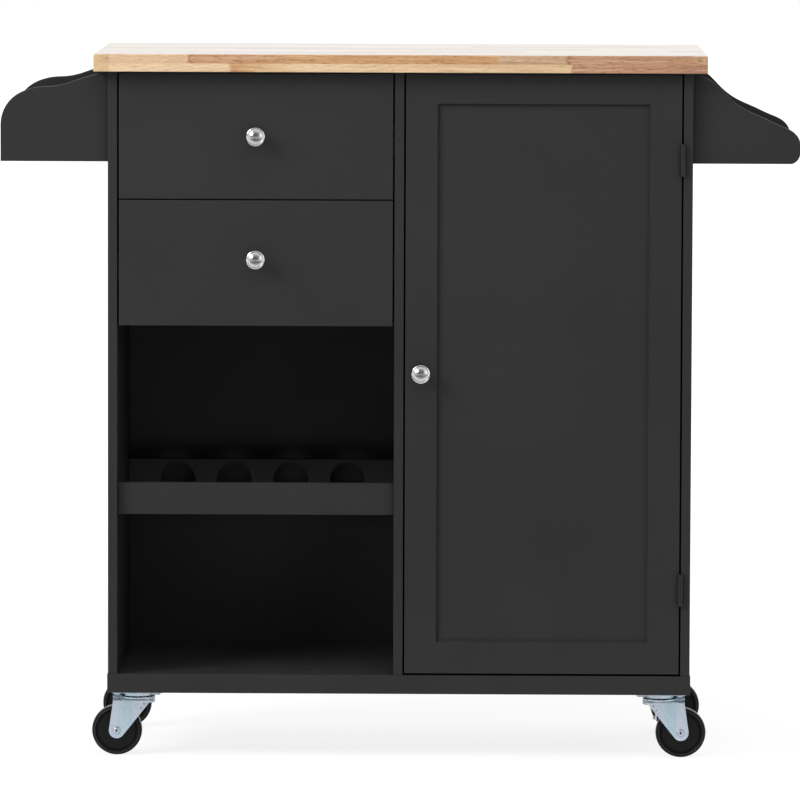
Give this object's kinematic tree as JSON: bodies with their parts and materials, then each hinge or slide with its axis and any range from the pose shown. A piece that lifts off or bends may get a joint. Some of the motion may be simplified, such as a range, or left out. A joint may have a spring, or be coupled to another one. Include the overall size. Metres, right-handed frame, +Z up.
{
  "type": "rolling kitchen island",
  "caption": "Rolling kitchen island with drawers, a bottle rack, a cupboard behind a panelled door, a spice rack, a towel bar and a wooden top on swivel casters.",
  "frame": {"origin": "on the floor, under the middle of the whole island's outline", "axes": "+X to the towel bar's side, +Y to the back panel, +Z up"},
  "size_m": [1.0269, 0.405, 0.9095],
  "materials": {
    "black_paint": "satin charcoal paint on board",
    "rubberwood": "finger-jointed block with a thin satin lacquer",
    "black_hardboard": "thin painted hardboard",
    "chrome": "polished",
    "zinc_steel": "bright zinc plating",
    "black_steel": "black powder coat",
    "wheel_rubber": "moulded matt black",
    "catch_plastic": "white moulded plastic"
  },
  "bodies": {
    "cabinet": {"worktop": "rubberwood", "back_panel": "black_hardboard", "shelf_pins": "zinc_steel", "cabinet_runners": "black_steel", "cabinet_screws": "zinc_steel", "hinge_side_leaves": "black_steel", "hinge_pins": "black_steel", "door_catch": "catch_plastic", "caster_plates": "zinc_steel", "caster_kingpins": "zinc_steel", "swivel_balls": "zinc_steel", "side_panel_left": "black_paint", "side_panel_right": "black_paint", "divider_panel": "black_paint", "bottom_board": "black_paint", "top_rails": "black_paint", "drawer_deck": "black_paint", "rack_front_rail": "black_paint", "rack_neck_rail": "black_paint", "cupboard_shelf": "black_paint", "spice_bracket_front": "black_paint", "spice_bracket_rear": "black_paint", "spice_tray": "black_paint", "spice_guard_rail": "black_paint", "towel_bracket_front": "black_paint", "towel_bracket_rear": "black_paint", "towel_bar": "black_paint"},
    "upper_drawer": {"upper_drawer_front": "black_paint", "upper_drawer_sides": "black_paint", "upper_drawer_back": "black_paint", "upper_drawer_bottom": "black_hardboard", "upper_drawer_runners": "black_steel", "upper_drawer_knob": "chrome", "upper_drawer_screws": "zinc_steel"},
    "lower_drawer": {"lower_drawer_front": "black_paint", "lower_drawer_sides": "black_paint", "lower_drawer_back": "black_paint", "lower_drawer_bottom": "black_hardboard", "lower_drawer_runners": "black_steel", "lower_drawer_knob": "chrome", "lower_drawer_screws": "zinc_steel"},
    "door": {"door_panel": "black_paint", "door_knob": "chrome", "door_screws": "zinc_steel", "hinge_door_leaves": "black_steel", "catch_plate": "zinc_steel"},
    "front_left_caster": {"front_left_fork": "zinc_steel", "front_left_axle": "zinc_steel"},
    "front_left_wheel": {"front_left_wheel": "wheel_rubber"},
    "front_right_caster": {"front_right_fork": "zinc_steel", "front_right_axle": "zinc_steel"},
    "front_right_wheel": {"front_right_wheel": "wheel_rubber"},
    "rear_left_caster": {"rear_left_fork": "zinc_steel", "rear_left_axle": "zinc_steel"},
    "rear_left_wheel": {"rear_left_wheel": "wheel_rubber"},
    "rear_right_caster": {"rear_right_fork": "zinc_steel", "rear_right_axle": "zinc_steel"},
    "rear_right_wheel": {"rear_right_wheel": "wheel_rubber"},
    "front_right_brake": {"front_right_brake_lever": "zinc_steel"},
    "rear_right_brake": {"rear_right_brake_lever": "zinc_steel"}
  },
  "joints": [
    {"name": "upper_drawer_slide", "type": "slide", "parent": "cabinet", "child": "upper_drawer", "axis": [0, -1, 0], "range_m": [0, 0.225]},
    {"name": "lower_drawer_slide", "type": "slide", "parent": "cabinet", "child": "lower_drawer", "axis": [0, -1, 0], "range_m": [0, 0.225]},
    {"name": "door_hinge", "type": "hinge", "parent": "cabinet", "child": "door", "pos_m": [0.3619, -0.18285, 0.4975], "axis": [0, 0, 1], "range_deg": [0, 170]},
    {"name": "front_left_swivel", "type": "hinge", "parent": "cabinet", "child": "front_left_caster", "pos_m": [-0.338, -0.1395, 0.075], "axis": [0, 0, 1], "continuous": true},
    {"name": "front_left_roll", "type": "hinge", "parent": "front_left_caster", "child": "front_left_wheel", "pos_m": [-0.365, -0.1395, 0.0325], "axis": [0, 1, 0], "continuous": true},
    {"name": "front_right_swivel", "type": "hinge", "parent": "cabinet", "child": "front_right_caster", "pos_m": [0.338, -0.1395, 0.075], "axis": [0, 0, 1], "continuous": true},
    {"name": "front_right_roll", "type": "hinge", "parent": "front_right_caster", "child": "front_right_wheel", "pos_m": [0.365, -0.1395, 0.0325], "axis": [0, 1, 0], "continuous": true},
    {"name": "front_right_brake_press", "type": "hinge", "parent": "front_right_caster", "child": "front_right_brake", "pos_m": [0.3353, -0.1395, 0.061], "axis": [0, -1, 0], "range_deg": [0, 13]},
    {"name": "rear_left_swivel", "type": "hinge", "parent": "cabinet", "child": "rear_left_caster", "pos_m": [-0.338, 0.1305, 0.075], "axis": [0, 0, 1], "continuous": true},
    {"name": "rear_left_roll", "type": "hinge", "parent": "rear_left_caster", "child": "rear_left_wheel", "pos_m": [-0.365, 0.1305, 0.0325], "axis": [0, 1, 0], "continuous": true},
    {"name": "rear_right_swivel", "type": "hinge", "parent": "cabinet", "child": "rear_right_caster", "pos_m": [0.338, 0.1305, 0.075], "axis": [0, 0, 1], "continuous": true},
    {"name": "rear_right_roll", "type": "hinge", "parent": "rear_right_caster", "child": "rear_right_wheel", "pos_m": [0.365, 0.1305, 0.0325], "axis": [0, 1, 0], "continuous": true},
    {"name": "rear_right_brake_press", "type": "hinge", "parent": "rear_right_caster", "child": "rear_right_brake", "pos_m": [0.3353, 0.1305, 0.061], "axis": [0, -1, 0], "range_deg": [0, 13]}
  ]
}
